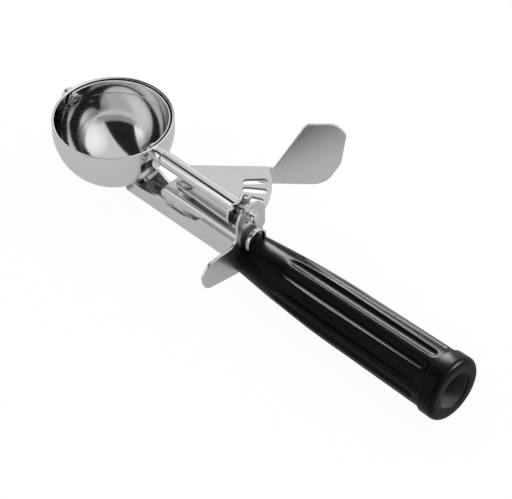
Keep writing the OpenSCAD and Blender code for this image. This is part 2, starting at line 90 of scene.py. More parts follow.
bowl_low, bowl_high = span("bowl")
blade_low, blade_high = span("scraper_blade")
sleeve_low, sleeve_high = span("shaft_sleeve")
neck_low, neck_high = span("neck_bushing")
shaft_low, shaft_high = span("scraper_shaft")
gear_low, gear_high = span("pinion")
thrust_low, thrust_high = span("thrust_collar")
hub_low, hub_high = span("rear_bushing")
pin_low, pin_high = span("front_pin")
bush_low, bush_high = span("lever_bushing")
rivet_low, rivet_high = span("pivot_rivet")
washer_low, washer_high = span("pivot_washer")
spacer_low, spacer_high = span("pivot_spacer")
rest_low, rest_high = span("finger_rest")
collar_low, collar_high = span("handle_collar")
grip_low, grip_high = span("handle_grip")
bed_low, bed_high = span("lever_bed")
shank_low, shank_high = span("shank_channel")

BOWL_R = (bowl_high.x - bowl_low.x) / 2
BOWL_X = (bowl_high.x + bowl_low.x) / 2
BOWL_Z = bowl_low.z + BOWL_R
SHAFT_Z = (sleeve_low.z + sleeve_high.z) / 2
RIM_Z = bowl_high.z
SLEEVE_R = (sleeve_high.z - sleeve_low.z) / 2
NECK_R = (neck_high.z - neck_low.z) / 2
PIVOT_X = (bush_low.x + bush_high.x) / 2
LEVER_TOP = bush_high.z
LEVER_T = bush_high.z - bush_low.z
RACK_R = (gear_low.x + gear_high.x) / 2 - PIVOT_X
PITCH_R = SHAFT_Z - LEVER_TOP + LEVER_T / 2
REST_FRONT, REST_REAR = rest_low.x, rest_high.x
GRIP_FRONT = grip_low.x
BUTT_R = grip_high.z
BED_TOP = bed_high.z
SHANK_FLOOR = shank_low.z


# ---- Other sizes, in millimetres and degrees ----

SHAFT_R = 2.0
BUSH_R = 2.5
RUNNING_FIT = 0.05
SADDLE_T = 1.2
TEETH = 5
TOOTH_STEP = 360 / 7
FIRST_SLOT = 3


# ---- Outlines ----


def turn(v, degrees):
    c, s = cos(radians(degrees)), sin(radians(degrees))
    return Vector((v[0] * c - v[1] * s, v[0] * s + v[1] * c))


def rounded(corners, steps=9):
    """A closed outline from corners given as (x, y, radius)."""
    out = []
    n = len(corners)
    for i, (x, y, r) in enumerate(corners):
        b = Vector((x, y))
        if r == 0:
            out.append(b)
            continue
        u = (Vector(corners[i - 1][:2]) - b).normalized()
        w = (Vector(corners[(i + 1) % n][:2]) - b).normalized()
        half = acos(max(-1, min(1, u.dot(w)))) / 2
        centre = b + (u + w).normalized() * r / sin(half)
        start = b + u * (r / tan(half)) - centre
        side = -1 if u.x * w.y - u.y * w.x > 0 else 1
        sweep = side * (180 - 2 * half * 180 / pi)
        out += [centre + turn(start, sweep * k / steps) for k in range(steps + 1)]
    return out


def softened(points, radius, steps=4):
    """The outline of a turned part with all its corners eased by one radius."""
    return rounded([(a, r, radius) for a, r in points], steps)


def ring(low, high, bore, out, ease, steps=4):
    """The eased outline of a plain ring that reaches from low to high along its axis."""
    return softened([(low, bore), (low, out), (high, out), (high, bore)], ease, steps)


def circle(centre, radius, steps=48):
    """A closed outline round a centre."""
    angles = [2 * pi * k / steps for k in range(steps)]
    return [Vector(centre) + Vector((radius * cos(a), radius * sin(a))) for a in angles]


def arc(radius, start, stop, steps):
    """Points (along, out) on an arc about the origin, by angle from the along axis."""
    angles = [radians(start + (stop - start) * k / steps) for k in range(steps + 1)]
    return [(radius * cos(a), radius * sin(a)) for a in angles]


def between(stations, x):
    """A value read off a list of (x, value), eased between its points."""
    for (x0, v0), (x1, v1) in zip(stations, stations[1:]):
        if x <= x1:
            t = max(0.0, min(1.0, (x - x0) / (x1 - x0)))
            t = t * t * (3 - 2 * t)
            return v0 + (v1 - v0) * t
    return stations[-1][1]


# ---- Mesh makers ----


def turned_part(bm, profile, origin, axis, steps=96, closed=True):
    """Spin a profile of (distance along the axis, radius) about the axis."""
    side = X if axis == Z else Z
    verts = [bm.verts.new(origin + axis * a + side * r) for a, r in profile]
    pairs = list(zip(verts, verts[1:])) + ([(verts[-1], verts[0])] if closed else [])
    edges = [bm.edges.new(p) for p in pairs]
    bmesh.ops.spin(bm, geom=verts + edges, cent=origin, axis=axis, angle=2 * pi, steps=steps,
                   use_merge=True)


def pressed_plate(bm, outline, holes, thickness, edge, place, segments=3, joined=None):
    """A flat sheet with holes and eased edges, moved to its place by a matrix."""
    old = set(bm.verts)
    edges = []
    for points in [outline] + holes:
        verts = [bm.verts.new((p[0], p[1], 0)) for p in points]
        edges += [bm.edges.new((v, verts[(i + 1) % len(verts)])) for i, v in enumerate(verts)]
    filled = bmesh.ops.triangle_fill(bm, use_beauty=True, use_dissolve=False, edges=edges, normal=Z)
    faces = [g for g in filled["geom"] if isinstance(g, bmesh.types.BMFace)]
    bmesh.ops.recalc_face_normals(bm, faces=faces)
    bmesh.ops.inset_region(bm, faces=faces, thickness=edge * 1.3, use_boundary=True, use_even_offset=True)
    sheet = list({f for v in bm.verts if v not in old for f in v.link_faces})
    grown = bmesh.ops.extrude_face_region(bm, geom=sheet)
    top = [g for g in grown["geom"] if isinstance(g, bmesh.types.BMVert)]
    bmesh.ops.translate(bm, verts=top, vec=Z * thickness)
    verts = [v for v in bm.verts if v not in old]
    bmesh.ops.recalc_face_normals(bm, faces=list({f for v in verts for f in v.link_faces}))
    ease_edges(bm, verts, edge, segments, joined=joined)
    verts = [v for v in bm.verts if v not in old]
    bmesh.ops.transform(bm, matrix=place, verts=verts)


def ease_edges(bm, verts, edge, segments=3, limit=50, joined=None):
    """Round the sharp edges, apart from those where another sheet joins."""
    edges = {e for v in verts for e in v.link_edges}
    if joined:
        edges = {e for e in edges if not all(joined(v.co) for v in e.verts)}
    sharp = [e for e in edges if len(e.link_faces) == 2 and e.calc_face_angle(0) > radians(limit)]
    bmesh.ops.bevel(bm, geom=sharp, offset=edge, offset_type="OFFSET", affect="EDGES", segments=segments,
                    profile=0.5, material=-1, clamp_overlap=True)


def formed_sheet(bm, columns, rows, place, thickness, edge, segments=2):
    """A sheet whose grid points are put in place by a function of (column, row), then given its wall."""
    old = set(bm.verts)
    made = bmesh.ops.create_grid(bm, x_segments=columns, y_segments=rows, size=1)
    for v in made["verts"]:
        i = round((v.co.x + 1) / 2 * columns)
        j = round((v.co.y + 1) / 2 * rows)
        v.co = place(i, j)
    faces = list({f for v in made["verts"] for f in v.link_faces})
    bmesh.ops.recalc_face_normals(bm, faces=faces)
    bmesh.ops.solidify(bm, geom=faces, thickness=thickness)
    verts = [v for v in bm.verts if v not in old]
    if edge:
        ease_edges(bm, verts, edge, segments)


def finish(bm, name, body, slot, skin, *nodes, weld=0.0005, sharp=None):
    """Turn a mesh in millimetres into a finished piece that rides on a body."""
    if weld:
        bmesh.ops.remove_doubles(bm, verts=bm.verts, dist=weld)
    bmesh.ops.recalc_face_normals(bm, faces=bm.faces)
    bmesh.ops.scale(bm, vec=(MM, MM, MM), verts=bm.verts)
    mesh = bpy.data.meshes.new(name)
    bm.to_mesh(mesh)
    bm.free()
    mesh.shade_smooth()
    if sharp:
        mesh.set_sharp_from_angle(angle=radians(sharp))
    piece = bpy.data.objects.new(name, mesh)
    bpy.context.scene.collection.objects.link(piece)
    piece.data.materials.append(skin)
    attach(piece, body)
    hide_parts(*nodes)
    return piece


# ---- Materials ----


class Socket:
    """A shader output that takes part in plain arithmetic."""

    def __init__(self, tree, link):
        self.tree, self.link = tree, link

    def maths(self, operation, a, b):
        return self.tree.node("ShaderNodeMath", {"operation": operation}, {0: a, 1: b})

    def __add__(self, other):
        return self.maths("ADD", self, other)

    def __sub__(self, other):
        return self.maths("SUBTRACT", self, other)

    def __rsub__(self, other):
        return self.maths("SUBTRACT", other, self)

    def __mul__(self, other):
        return self.maths("MULTIPLY", self, other)

    __radd__ = __add__
    __rmul__ = __mul__


class Tree:
    """The node tree of a material or of the world, emptied and ready to fill."""

    def __init__(self, owner):
        owner.use_nodes = True
        self.tree = owner.node_tree
        self.tree.nodes.clear()

    def node(self, kind, settings=None, values=None, output=0):
        made = self.tree.nodes.new(kind)
        for key, value in (settings or {}).items():
            if key == "stops":
                ramp = made.color_ramp
                while len(ramp.elements) < len(value):
                    ramp.elements.new(1)
                for element, (at, grey) in zip(ramp.elements, value):
                    element.position = at
                    element.color = (grey, grey, grey, 1)
            else:
                setattr(made, key, value)
        for key, value in (values or {}).items():
            if isinstance(value, Socket):
                self.tree.links.new(value.link, made.inputs[key])
            else:
                made.inputs[key].default_value = value
        return Socket(self, made.outputs[output]) if made.outputs else None

    def noise(self, size, stretch=(1, 1, 1), detail=3, rough=0.5):
        """Noise whose grains are about size metres across."""
        place = self.node("ShaderNodeTexCoord", output="Object")
        place = self.node("ShaderNodeMapping", values={0: place, "Scale": stretch})
        return self.node("ShaderNodeTexNoise", values={"Vector": place, "Scale": 1 / size, "Detail": detail,
                                                       "Roughness": rough})

    def between(self, value, low, high, out_low=0.0, out_high=1.0):
        """A value moved from one range to another, and held inside it."""
        ends = {"From Min": low, "From Max": high, "To Min": out_low, "To Max": out_high}
        return self.node("ShaderNodeMapRange", {"clamp": True}, {"Value": value, **ends})

    def mixed(self, factor, a, b):
        return self.node("ShaderNodeMix", {"data_type": "RGBA"}, {0: factor, 6: a, 7: b}, output=2)

    def bump(self, height, strength, distance, normal=None):
        values = {"Height": height, "Strength": strength, "Distance": distance}
        if normal:
            values["Normal"] = normal
        return self.node("ShaderNodeBump", values=values)


def grey(level, alpha=1.0):
    return (level, level, level, alpha)


def surface(name):
    material = bpy.data.materials.new(name)
    return material, Tree(material)


def end(tree, shader):
    tree.node("ShaderNodeOutputMaterial", values={"Surface": shader})


def shade(colour, factor=1.0):
    """A colour made darker or lighter, as a node takes it."""
    return (*[c * factor for c in colour], 1)


def metal(tree, colour, rough, grain=None):
    """Bare metal, with a fine grain where one is given."""
    values = {"Base Color": colour, "Metallic": 1.0, "Roughness": rough}
    if grain:
        values["Normal"] = tree.bump(grain, 0.04, 0.00002)
    end(tree, tree.node("ShaderNodeBsdfPrincipled", values=values))


def polished_steel(look, name="polished_steel", tint=1.0):
    """Mirror-bright steel with faint buffing lines and handling haze."""
    material, t = surface(name)
    bright = [c * tint for c in look.steel_colour]
    haze = t.between(t.noise(0.012, detail=4), 0.35, 0.75)
    buffing = t.noise(0.0006, stretch=(0.12, 1, 1), detail=2)
    colour = t.mixed(haze * 0.5, shade(bright), shade(bright, 0.9))
    rough = t.between(haze, 0, 1, look.polish, look.polish + 0.05) + t.between(buffing, 0.3, 0.7, 0, 0.02)
    metal(t, colour, rough, buffing)
    return material


def painted_shade_steel(look):
    """Steel painted darker, as painted shade and painted dark reflection on faces that the light misses."""
    return polished_steel(look, "painted_shade_steel", 0.42)


def inner_steel(look):
    """The bowl's inside, with rubbed patches from scoops and washing, and a colour darker than the outside
    that is partly duller steel and partly painted shade.
    """
    material, t = surface("inner_steel")
    rubbed = t.between(t.noise(0.009, detail=5, rough=0.6), 0.3, 0.75)
    fine = t.noise(0.0005, stretch=(1, 1, 0.2), detail=2)
    colour = t.mixed(rubbed * 0.6, shade(look.inner_colour_and_shade), shade(look.inner_colour_and_shade, 0.88))
    rough = t.between(rubbed, 0, 1, look.polish, look.polish + 0.05) + t.between(fine, 0.3, 0.7, 0, 0.03)
    metal(t, colour, rough)
    return material


def rolled_steel(look, name="rolled_steel", tint=1.0):
    """Rolled sheet with a fine satin grain and slightly brighter rubbed patches."""
    material, t = surface(name)
    grain = t.noise(0.00045, stretch=(0.06, 1, 1), detail=3, rough=0.6)
    cloud = t.between(t.noise(0.015, detail=4), 0.3, 0.75)
    bright = [c * tint for c in look.sheet_colour]
    colour = t.mixed(cloud, shade(bright, 0.94), shade(bright))
    rough = t.between(grain, 0.3, 0.7, look.satin - 0.02, look.satin + 0.03) + cloud * 0.03
    metal(t, colour, rough, grain)
    return material


def rest_steel(look):
    """The finger rest's sheet, painted slightly darker as painted shade and dark reflection."""
    return rolled_steel(look, "rest_steel", 0.9)


def moulded_plastic(look):
    """Glossy black plastic with the slight waviness of a moulding and fine rubbed specks."""
    material, t = surface("moulded_plastic")
    wave = t.noise(0.006, detail=2)
    speck = t.noise(0.0008, detail=4, rough=0.6)
    worn = t.between(t.noise(0.02, detail=5), 0.5, 0.8)
    colour = t.mixed(worn * 0.4, shade(look.grip_colour), shade(look.grip_colour, 1.6))
    rough = t.between(worn, 0, 1, look.gloss, look.gloss + 0.08) + t.between(speck, 0.35, 0.7, 0, 0.03)
    normal = t.bump(speck, 0.02, 0.00002, t.bump(wave, 0.04, 0.0001))
    shader = t.node("ShaderNodeBsdfPrincipled", values={
        "Base Color": colour, "Roughness": rough, "Specular IOR Level": 0.08, "Normal": normal})
    end(t, shader)
    return material


def socket_plastic(look):
    """The socket's unpolished wall, dull and dusty beside the outside."""
    material, t = surface("socket_plastic")
    dust = t.between(t.noise(0.003, detail=4), 0.3, 0.7)
    colour = t.mixed(dust, grey(0.02), grey(0.035))
    rough = t.between(dust, 0, 1, 0.5, 0.65)
    end(t, t.node("ShaderNodeBsdfPrincipled", values={"Base Color": colour, "Roughness": rough}))
    return material


MAKERS = {make.__name__: make for make in (polished_steel, painted_shade_steel, inner_steel, rolled_steel, rest_steel,
                                           moulded_plastic, socket_plastic)}


def material(name):
    """The named material, made once."""
    return bpy.data.materials.get(name) or MAKERS[name](bpy.context.scene.scoop_looks)


# ---- Settings ----


class ScoopLooks(bpy.types.PropertyGroup):
    steel_colour: FloatVectorProperty(
        name="Polished steel", description="Colour of the bowl and the turned parts",
        subtype="COLOR", size=3, default=(0.8, 0.8, 0.803), min=0, max=1)
    sheet_colour: FloatVectorProperty(
        name="Stamped steel", description="Colour of the sheet parts",
        subtype="COLOR", size=3, default=(0.78, 0.78, 0.783), min=0, max=1)
    # The bowl inside's colour is partly painted shade.
    inner_colour_and_shade: FloatVectorProperty(
        name="Bowl inside", description="Colour of the bowl's rubbed inside",
        subtype="COLOR", size=3, default=(0.72, 0.72, 0.723), min=0, max=1)
    grip_colour: FloatVectorProperty(
        name="Grip", description="Colour of the moulded grip",
        subtype="COLOR", size=3, default=(0.0015, 0.0015, 0.0015), min=0, max=1)
    polish: FloatProperty(
        name="Polish", description="Roughness of the polished steel",
        subtype="FACTOR", default=0.06, min=0, max=1)
    satin: FloatProperty(
        name="Satin", description="Roughness of the sheet parts",
        subtype="FACTOR", default=0.27, min=0, max=1)
    gloss: FloatProperty(
        name="Gloss", description="Roughness of the grip",
        subtype="FACTOR", default=0.25, min=0, max=1)


class ScoopSizes(bpy.types.PropertyGroup):
    bowl_wall: FloatProperty(
        name="Bowl wall", description="Thickness of the bowl's sheet",
        unit="LENGTH", default=1.0 * MM, min=0.5 * MM, max=2 * MM)
    sheet_edge: FloatProperty(
        name="Sheet edge", description="Rounding of the lever's edges",
        unit="LENGTH", default=0.3 * MM, min=0.05 * MM, max=0.6 * MM)
    flute_depth: FloatProperty(
        name="Flute depth", description="Depth of the grip's flutes",
        unit="LENGTH", default=0.8 * MM, min=0, max=1.2 * MM)
    flute_radius: FloatProperty(
        name="Flute radius", description="Radius of the grip's flutes",
        unit="LENGTH", default=2.6 * MM, min=1.5 * MM, max=4 * MM)
    wire: FloatProperty(
        name="Spring wire", description="Diameter of the return spring's wire",
        unit="LENGTH", default=0.8 * MM, min=0.4 * MM, max=1 * MM)


class ScoopStudio(bpy.types.PropertyGroup):
    floor_grey: FloatProperty(
        name="Floor", description="Grey of the floor as metal reflects it",
        subtype="FACTOR", default=0.55, min=0, max=1)
    ceiling: FloatProperty(
        name="Ceiling", description="Grey of the room overhead as metal reflects it",
        subtype="FACTOR", default=0.76, min=0, max=1)
    soft_box: FloatProperty(
        name="Soft boxes", description="Brightness of the two soft boxes as metal reflects them",
        subtype="FACTOR", default=1.15, min=0, max=2)
    lamp_watts: FloatProperty(
        name="Lamp", description="Power of the soft lamp overhead",
        unit="POWER", default=2.0, min=0, max=50)
    gloss_watts: FloatProperty(
        name="Side boxes", description="Power of the soft boxes that the black grip reflects",
        unit="POWER", default=8.0, min=0, max=20)
    fill: FloatProperty(
        name="Fill", description="Strength of the light from all round",
        subtype="FACTOR", default=0.85, min=0, max=2)


# ---- Pieces ----


class SCOOP_OT_bowl(bpy.types.Operator):
    """Spin the bowl and its saddle plate"""
    bl_idname = "scoop.bowl"
    bl_label = "Bowl"

    def execute(self, context):
        wall = context.scene.scoop_sizes.bowl_wall / MM
        centre = Vector((BOWL_X, 0, BOWL_Z))
        rim = RIM_Z - BOWL_Z
        inner = BOWL_R - wall
        lip_l, slant, ease = 1.6, 0.55, 0.3
        lip = [(rim - lip_l, BOWL_R), (rim, BOWL_R), (rim - slant, inner), (rim - lip_l, inner)]
        profile = arc(BOWL_R, 180, 90, 40) + [(rim / 2, BOWL_R)] + softened(lip, ease, 5)[6:-6]
        profile += [(rim / 2, inner)] + arc(inner, 90, 180, 40)
        bm = bmesh.new()
        turned_part(bm, profile, centre, Z, steps=160, closed=False)
        # The inside takes the darker inner steel, partly painted shade.
        for face in bm.faces:
            middle = face.calc_center_median()
            flat = hypot(middle.x - centre.x, middle.y)
            reach = (middle - centre).length if middle.z < BOWL_Z else flat
            face.material_index = 1 if reach < inner + 0.1 else 0
        shell = finish(bm, "bowl_shell", "frame", "steel", material("polished_steel"), "bowl")
        shell.data.materials.append(material("inner_steel"))

        plate_r, tilt, sunk, steps = 7.25, radians(52), 0.05, 8
        out = BOWL_R + SADDLE_T
        reach = asin(plate_r / out) * 180 / pi
        profile = arc(out, 0, reach, steps) + arc(BOWL_R - sunk, reach, 0, steps)
        bm = bmesh.new()
        turned_part(bm, profile, Vector((0, 0, 0)), X, steps=64)
        bm.normal_update()
        for face in bm.faces:
            # The plate's rim takes the darker steel, as painted shade.
            face.material_index = int(abs(face.normal.x) < 0.5)
        move = Matrix.Translation(centre) @ Matrix.Rotation(tilt, 4, "Y")
        bmesh.ops.transform(bm, matrix=move, verts=bm.verts)
        steel = material("polished_steel")
        plate = finish(bm, "saddle_plate", "frame", "stamped_steel", steel, "bowl_saddle", sharp=40)
        plate.data.materials.append(material("painted_shade_steel"))
        return {"FINISHED"}


class SCOOP_OT_scraper(bpy.types.Operator):
    """Form the scraper blade and turn the pin and the bushing that carry it"""
    bl_idname = "scoop.scraper"
    bl_label = "Scraper blade"

    def execute(self, context):
        centre = Vector((BOWL_X, 0, SHAFT_Z))
        out_r = (blade_high.x - blade_low.x) / 2
        thick, half, lug, ease = 0.6, 3.25, 3.5, 0.2
        columns, rows = 96, 10
        end_swing = 90 + lug / out_r * 180 / pi * 0.98

        def place(i, j):
            """A point of the band, which widens into a round lug past 90 degrees on either side."""
            swing = (-1 + 2 * i / columns) * end_swing
            past = (abs(swing) - 90) * pi / 180 * out_r
            room = lug * lug - past * past
            if past > 0:
                reach = sqrt(max(room, 0.02))
            else:
                reach = max(half, sqrt(max(room, 0)))
            lift = (-1 + 2 * j / rows) * reach / out_r
            a = radians(swing)
            return centre + Vector((sin(a) * cos(lift), cos(a) * cos(lift), sin(lift))) * out_r

        bm = bmesh.new()
        formed_sheet(bm, columns, rows, place, -thick, ease)
        finish(bm, "scraper_band", "scraper", "steel", material("polished_steel"), "scraper_blade",
               sharp=50)

        line = Vector((0, 0, SHAFT_Z))
        x0, x1, centre_r = pin_low.x, pin_high.x, 0.001
        head_r, head_l, stem_r, tail_r, tail_l = 3, 2.4, 1.5, 2.4, 0.7
        pin = [(x0, centre_r), (x0, head_r), (x0 + head_l, head_r), (x0 + head_l, stem_r),
               (x1 - tail_l, stem_r), (x1 - tail_l, tail_r), (x1, tail_r), (x1, centre_r)]
        bm = bmesh.new()
        turned_part(bm, pin, line, X, steps=48)
        ease_edges(bm, bm.verts, 0.28, 3, 60)
        finish(bm, "front_rivet", "frame", "steel", material("polished_steel"), "front_pin")

        bm = bmesh.new()
        tube = ring(neck_low.x, neck_high.x, SHAFT_R + RUNNING_FIT, NECK_R, 0.3)
        turned_part(bm, tube, line, X, steps=64)
        finish(bm, "neck_tube", "frame", "steel", material("polished_steel"), "neck_bushing")
        return {"FINISHED"}


class SCOOP_OT_shaft(bpy.types.Operator):
    """Turn the shaft, its sleeve, collars and bearing, and cut the pinion"""
    bl_idname = "scoop.shaft"
    bl_label = "Shaft and pinion"

    def execute(self, context):
        line = Vector((0, 0, SHAFT_Z))
        steel = material("polished_steel")

        x0, x1 = shaft_low.x, shaft_high.x
        head_r, head_l = 3, 0.8
        rod = [(x0, 0), (x0, head_r), (x0 + head_l, head_r), (x0 + head_l, SHAFT_R), (x1, SHAFT_R), (x1, 0)]
        bm = bmesh.new()
        turned_part(bm, [(x0, 0)] + softened(rod, 0.25)[5:-5] + [(x1, 0)], line, X, steps=64, closed=False)
        finish(bm, "shaft_rod", "scraper", "steel", steel, "scraper_shaft")

        bm = bmesh.new()
        turned_part(bm, ring(sleeve_low.x, sleeve_high.x, SHAFT_R, SLEEVE_R, 0.35), line, X)
        finish(bm, "sleeve_tube", "scraper", "steel", steel, "shaft_sleeve")

        bm = bmesh.new()
        turned_part(bm, ring(thrust_low.x, thrust_high.x, SHAFT_R, SHAFT_R + 1.4, 0.25), line, X)
        finish(bm, "thrust_ring", "scraper", "steel", steel, "thrust_collar")

        x0, x1 = hub_low.x, hub_high.x
        flange, bore = (hub_high.z - hub_low.z) / 2, SHAFT_R + RUNNING_FIT
        waist = flange - 0.6
        hub = [(x0, bore), (x0, flange), (REST_FRONT, flange), (REST_FRONT, waist),
               (REST_REAR, waist), (REST_REAR, flange), (x1, flange), (x1, bore)]
        bm = bmesh.new()
        turned_part(bm, softened(hub, 0.12, 3), line, X)
        finish(bm, "rear_bearing", "frame", "steel", steel, "rear_bushing", sharp=60)

        first = FIRST_SLOT * RACK_R / PITCH_R - 90
        tip, tip_half, tip_ease = PITCH_R + 0.75, 0.35, 0.22
        root, root_half, root_ease = PITCH_R - 1.5, 1.1, 0.3
        outline = []
        for k in range(TEETH):
            a = first + k * TOOTH_STEP
            outline += [(*turn((root, -root_half), a), root_ease), (*turn((tip, -tip_half), a), tip_ease),
                        (*turn((tip, tip_half), a), tip_ease), (*turn((root, root_half), a), root_ease)]
        plain_r, steps, gap = 7.5, 20, 20
        plain, plain_end = first + (TEETH - 1) * TOOTH_STEP + gap, 222
        outline += [(*turn((plain_r, 0), plain + (plain_end - plain) * i / steps), 0)
                    for i in range(steps + 1)]
        width = gear_high.x - gear_low.x
        place = Matrix(((0, 0, 1, gear_low.x), (1, 0, 0, 0), (0, 1, 0, SHAFT_Z), (0, 0, 0, 1)))
        bm = bmesh.new()
        pressed_plate(bm, rounded(outline, 4), [circle((0, 0), SHAFT_R)], width, 0.12, place)
        bm.normal_update()
        # The wheel's flat faces take the darker steel, as a painted dark reflection.
        for face in bm.faces:
            face.material_index = int(abs(face.normal.x) > 0.9)
        wheel = finish(bm, "pinion_wheel", "scraper", "stamped_steel", steel, "pinion")
        wheel.data.materials.append(material("painted_shade_steel"))
        return {"FINISHED"}


class SCOOP_OT_lever(bpy.types.Operator):
    """Press the lever with its slots and thumb pad"""
    bl_idname = "scoop.lever"
    bl_label = "Lever"

    def execute(self, context):
        edge = context.scene.scoop_sizes.sheet_edge / MM
        arc_r, far_edge, far, front = REST_FRONT - 0.4 - PIVOT_X, 10.85, 42.3, 8.2
        far_dir, far_out = turn(X, far), turn(Y, far)
        corner = far_out * far_edge + far_dir * sqrt(arc_r ** 2 - far_edge ** 2)
        far_front = far_out * far_edge + far_dir * ((far_edge * far_dir.y - front) / far_dir.x)
        rear_angle, far_angle = -7.5, atan2(corner.y, corner.x) * 180 / pi
        outline = rounded([(corner.x, corner.y, 0.6), (*far_front, 1.5), (-3.8, -3.2, 2),
                           (*turn((arc_r, 0), rear_angle), 0.5)])
        steps = 40
        outline += [turn((arc_r, 0), rear_angle + (far_angle - rear_angle) * k / steps)
                    for k in range(1, steps)]
        outline[10:10] = [corner - far_dir * 0.8, corner - far_dir * 9.2]
        slot_w, slot_in, slot_out, slot_ease = 3.1, 21.7, 31.7, 1.54
        ends = ((slot_in, -1), (slot_out, -1), (slot_out, 1), (slot_in, 1))
        pill = rounded([(x, side * slot_w / 2, slot_ease) for x, side in ends], 6)
        step = TOOTH_STEP * PITCH_R / RACK_R
        holes = [circle((0, 0), BUSH_R)]
        holes += [[turn(p, FIRST_SLOT + k * step) for p in pill] for k in range(TEETH)]
        close, seat_low, seat_high = 0.05, -9.3, 0.3

        def at_pad(point):
            """Whether a point of the sheet lies on the edge that the pad stands on."""
            flat = Vector((point.x, point.y)) - corner
            return abs(flat.dot(far_out)) < close and seat_low < flat.dot(far_dir) < seat_high

        bm = bmesh.new()
        place = Matrix.Translation((PIVOT_X, 0, LEVER_TOP - LEVER_T))
        pressed_plate(bm, outline, holes, LEVER_T, edge, place, joined=at_pad)

        pad_reach, rise, drop, root_y = 30, 23.3, 8.4, -0.1
        pad = rounded([
            (-9, root_y, 0), (-9, -2.5, 0), (-3, -drop, 3), (pad_reach - 7, -drop, 9),
            (pad_reach - 1, 3, 8), (pad_reach + 1, rise - 5, 4), (pad_reach - 3, rise + 0.5, 5),
            (0.5 * pad_reach, rise + 0.2, 3), (2.3, root_y, 0.5)], 12)
        root = corner - far_out * 0.05
        place = Matrix.Translation((PIVOT_X + root.x, root.y, LEVER_TOP)) @ Matrix(
            ((far_dir.x, 0, far_dir.y, 0), (far_dir.y, 0, -far_dir.x, 0), (0, 1, 0, 0), (0, 0, 0, 1)))
        pressed_plate(bm, pad, [], LEVER_T, edge, place, joined=lambda p: abs(p.y - root_y) < close)
        bm.normal_update()
        # The slot walls take the darker steel, as painted shade.
        for face in bm.faces:
            middle = face.calc_center_median() - X * PIVOT_X
            by_slot = slot_in - 0.5 < hypot(middle.x, middle.y) < slot_out + 0.5
            wall = abs(face.normal.z) < 0.5 and 0 < middle.y < 1.3 * middle.x
            face.material_index = int(by_slot and wall)
        sheet = finish(bm, "lever_sheet", "lever", "stamped_steel", material("rolled_steel"), "lever_plate",
                       weld=0, sharp=60)
        sheet.data.materials.append(material("painted_shade_steel"))

        bm = bmesh.new()
        eyelet = ring(bush_low.z, bush_high.z, 2.05, BUSH_R, 0.05, 2)
        turned_part(bm, eyelet, Vector((PIVOT_X, 0, 0)), Z, steps=64)
        finish(bm, "lever_eyelet", "lever", "steel", material("polished_steel"), "lever_bushing")
        return {"FINISHED"}


class SCOOP_OT_pivot(bpy.types.Operator):
    """Turn the rivet, washer and spacer that carry the lever"""
    bl_idname = "scoop.pivot"
    bl_label = "Pivot"

    def execute(self, context):
        steel = material("polished_steel")
        line = Vector((PIVOT_X, 0, 0))
        low, top = rivet_low.z, rivet_high.z
        foot_r, foot_l, stem_r, head_r, head_l = 3, 0.9, 2, 3.05, 0.8
        under = top - head_l
        body = [(low, 0), (low, foot_r), (low + foot_l, foot_r), (low + foot_l, stem_r), (under, stem_r),
                (under, head_r)]
        angles = [radians(15 * k) for k in range(7)]
        dome = [(under + 0.25 + 0.55 * sin(a), head_r * cos(a)) for a in angles]
        bm = bmesh.new()
        turned_part(bm, body + dome, line, Z, steps=64, closed=False)
        finish(bm, "pivot_pin", "frame", "steel", steel, "pivot_rivet", sharp=50)

        barrel_r = (spacer_high.y - spacer_low.y) / 2
        for name, node, low, high, out in (
                ("pivot_ring", "pivot_washer", washer_low.z, washer_high.z, 2.65),
                ("pivot_barrel", "pivot_spacer", spacer_low.z, spacer_high.z, barrel_r)):
            bm = bmesh.new()
            turned_part(bm, ring(low, high, stem_r, out, 0.1, 3), line, Z, steps=64)
            finish(bm, name, "frame", "steel", steel, node)
        return {"FINISHED"}


class SCOOP_OT_spring(bpy.types.Operator):
    """Wind the return spring between the bed and the lever"""
    bl_idname = "scoop.spring"
    bl_label = "Return spring"

    def execute(self, context):
        wire = context.scene.scoop_sizes.wire / MM
        coil, pitch, low = 3.8, wire + 0.15, BED_TOP + wire / 2 + 0.1
        leg_in, corner, reach, leg_z = 2.2, 0.9, 5.9, BED_TOP - 5.6
        soft = corner * 0.28
        hook = ((1.3, -reach, leg_z - 2.2), (0.4, -reach, leg_z - 1.7), (0, -reach, leg_z - corner))
        leg = ((0, soft - reach, leg_z - soft), (0, corner - reach, leg_z), (0, -leg_in - corner, leg_z),
               (0, -leg_in - soft, leg_z + soft), (0, -leg_in, leg_z + corner), (0, -leg_in, low - corner),
               (0, soft - leg_in, low - soft), (0, corner - leg_in, low))
        route = [(x - coil, y, z) for x, y, z in hook + leg]
        turns, rings = 2, 36
        for i in range(turns * rings + 1):
            angle = radians(180 - 360 * i / rings)
            route.append((coil * cos(angle), coil * sin(angle), low + pitch * i / rings))
        curve = bpy.data.curves.new("coil", "CURVE")
        curve.dimensions = "3D"
        curve.bevel_depth = wire / 2 * MM
        curve.bevel_resolution = 4
        curve.use_fill_caps = True
        spline = curve.splines.new("POLY")
        spline.points.add(len(route) - 1)
        for point, (x, y, z) in zip(spline.points, route):
            point.co = ((PIVOT_X + x) * MM, y * MM, z * MM, 1)
        maker = bpy.data.objects.new("coil", curve)
        context.scene.collection.objects.link(maker)
        context.view_layer.update()
        mesh = bpy.data.meshes.new_from_object(maker.evaluated_get(context.evaluated_depsgraph_get()))
        bpy.data.objects.remove(maker)
        mesh.name = "spring_coil"
        mesh.shade_smooth()
        piece = bpy.data.objects.new("spring_coil", mesh)
        context.scene.collection.objects.link(piece)
        piece.data.materials.clear()
        piece.data.materials.append(material("polished_steel"))
        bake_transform(piece)
        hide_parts("return_spring")
        return {"FINISHED"}


